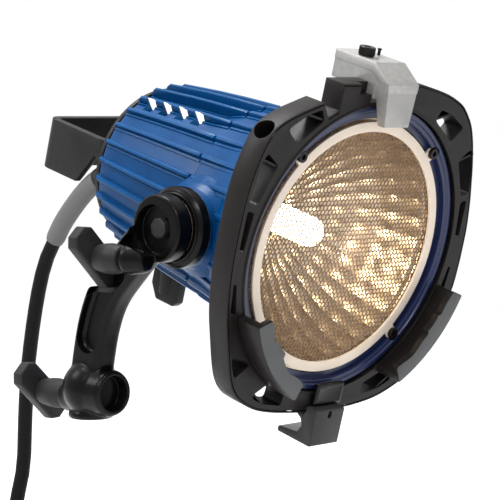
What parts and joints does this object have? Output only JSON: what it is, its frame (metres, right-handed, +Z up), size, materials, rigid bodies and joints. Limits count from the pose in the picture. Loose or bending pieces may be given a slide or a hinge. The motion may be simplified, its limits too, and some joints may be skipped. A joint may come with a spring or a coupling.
{
  "type": "open-face light",
  "caption": "Open-face location light with a ribbed housing, accessory frame, wire guard, single-arm yoke, locking handles, and a coiled mains cord.",
  "frame": {"origin": "centre of the mouth of the stand socket at the foot of the yoke arm", "axes": "+Z up along the socket, -Y is the side the lamp head looks to, tilted down 15.8 degrees, +X from the arm to the lamp head"},
  "size_m": [0.2236, 0.3005, 0.4989],
  "materials": {
    "blue_paint": "casting in semi gloss paint",
    "black_gloss_paint": "casting in gloss paint",
    "black_satin_paint": "casting in satin paint",
    "black_pad": "gloss",
    "dark_grey_paint": "satin",
    "dark_grey_plastic": "satin",
    "cast_aluminium": "cast, satin",
    "steel": "plain",
    "dark_steel": "blackened",
    "polished_reflector": "faceted and polished",
    "cream_enamel": "enamel",
    "heat_tinted_wire": "heat tinted",
    "ceramic": "unglazed ceramic",
    "quartz_glass": "clear",
    "black_rubber": "matt",
    "grey_sleeve": "matt",
    "brass": "plain",
    "fibre_washer": "pressed fibre"
  },
  "bodies": {
    "yoke": {"yoke_arm": "black_gloss_paint", "friction_washer": "fibre_washer", "cord": "black_rubber", "cord_coil": "black_rubber", "coil_tie": "black_rubber", "plug": "black_rubber", "plug_pin_left": "brass", "plug_pin_right": "brass"},
    "head": {"housing": "blue_paint", "front_bell": "blue_paint", "rear_cover": "dark_grey_paint", "cover_screw_1": "dark_steel", "cover_screw_2": "dark_steel", "cover_screw_3": "dark_steel", "cover_screw_4": "dark_steel", "rear_handle": "dark_grey_paint", "handle_screw_1": "dark_steel", "handle_screw_2": "dark_steel", "reflector": "polished_reflector", "guard_ring": "cream_enamel", "guard_mesh": "heat_tinted_wire", "guard_screw_1": "dark_steel", "guard_screw_2": "dark_steel", "guard_screw_3": "dark_steel", "guard_screw_4": "dark_steel", "accessory_frame": "black_satin_paint", "frame_hook_left": "black_satin_paint", "frame_hook_right": "black_satin_paint", "frame_screw_1": "dark_steel", "frame_screw_2": "dark_steel", "frame_screw_3": "dark_steel", "frame_screw_4": "dark_steel", "latch_pin": "steel", "bottom_bracket": "cast_aluminium", "bracket_screw": "dark_steel", "frame_pad": "black_pad", "strain_relief": "grey_sleeve", "cable_gland": "steel", "guide_rod_left": "steel", "guide_rod_right": "steel", "bulkhead": "steel", "pivot_disc": "black_gloss_paint", "pivot_bolt": "steel", "pivot_nut": "steel", "focus_bush": "steel"},
    "latch": {"top_latch": "cast_aluminium", "latch_stop_pin": "steel"},
    "latch_screw": {"latch_screw": "dark_steel"},
    "stand_clamp": {"stand_handle": "dark_grey_plastic", "stand_screw": "steel"},
    "clamp_shoe": {"clamp_shoe": "brass"},
    "tilt_lock": {"tilt_handle": "dark_grey_plastic", "tilt_screw": "steel"},
    "focus": {"focus_knob": "dark_grey_plastic", "focus_shaft": "steel"},
    "lamp_carriage": {"lamp_carriage": "steel", "lamp_holder": "ceramic", "bulb": "quartz_glass"}
  },
  "joints": [
    {"name": "head_tilt", "type": "hinge", "parent": "yoke", "child": "head", "pos_m": [0, -0.058, 0.1134], "axis": [1, 0, 0], "range_deg": [-90, 35], "deforming": ["cord"]},
    {"name": "latch_hinge", "type": "hinge", "parent": "head", "child": "latch", "pos_m": [0.0916, -0.14044, 0.19244], "axis": [-1, 0, 0], "range_deg": [0, 30]},
    {"name": "latch_screw_turn", "type": "hinge", "parent": "latch", "child": "latch_screw", "pos_m": [0.0861, -0.13322, 0.19448], "axis": [0, -0.2723, 0.9622], "range_deg": [0, 360]},
    {"name": "stand_handle_turn", "type": "hinge", "parent": "yoke", "child": "stand_clamp", "pos_m": [0, 0.02, 0.0116], "axis": [0, -1, 0], "range_deg": [0, 540]},
    {"name": "clamp_shoe_slide", "type": "slide", "parent": "yoke", "child": "clamp_shoe", "axis": [0, -1, 0], "range_m": [0, 0.0019]},
    {"name": "tilt_handle_turn", "type": "hinge", "parent": "yoke", "child": "tilt_lock", "pos_m": [-0.013, -0.044, 0.0957], "axis": [0, -1, 0], "range_deg": [0, 360]},
    {"name": "focus_turn", "type": "hinge", "parent": "head", "child": "focus", "pos_m": [0.0916, 0.02808, 0.07987], "axis": [0, 0.2723, -0.9622], "range_deg": [-95, 95]},
    {"name": "lamp_slide", "type": "slide", "parent": "head", "child": "lamp_carriage", "axis": [0, -0.9622, -0.2723], "range_m": [-0.0099, 0.0099]}
  ],
  "couplings": [
    {"joint": "focus_turn", "follows": "lamp_slide", "rad_per_m": 166.67}
  ]
}
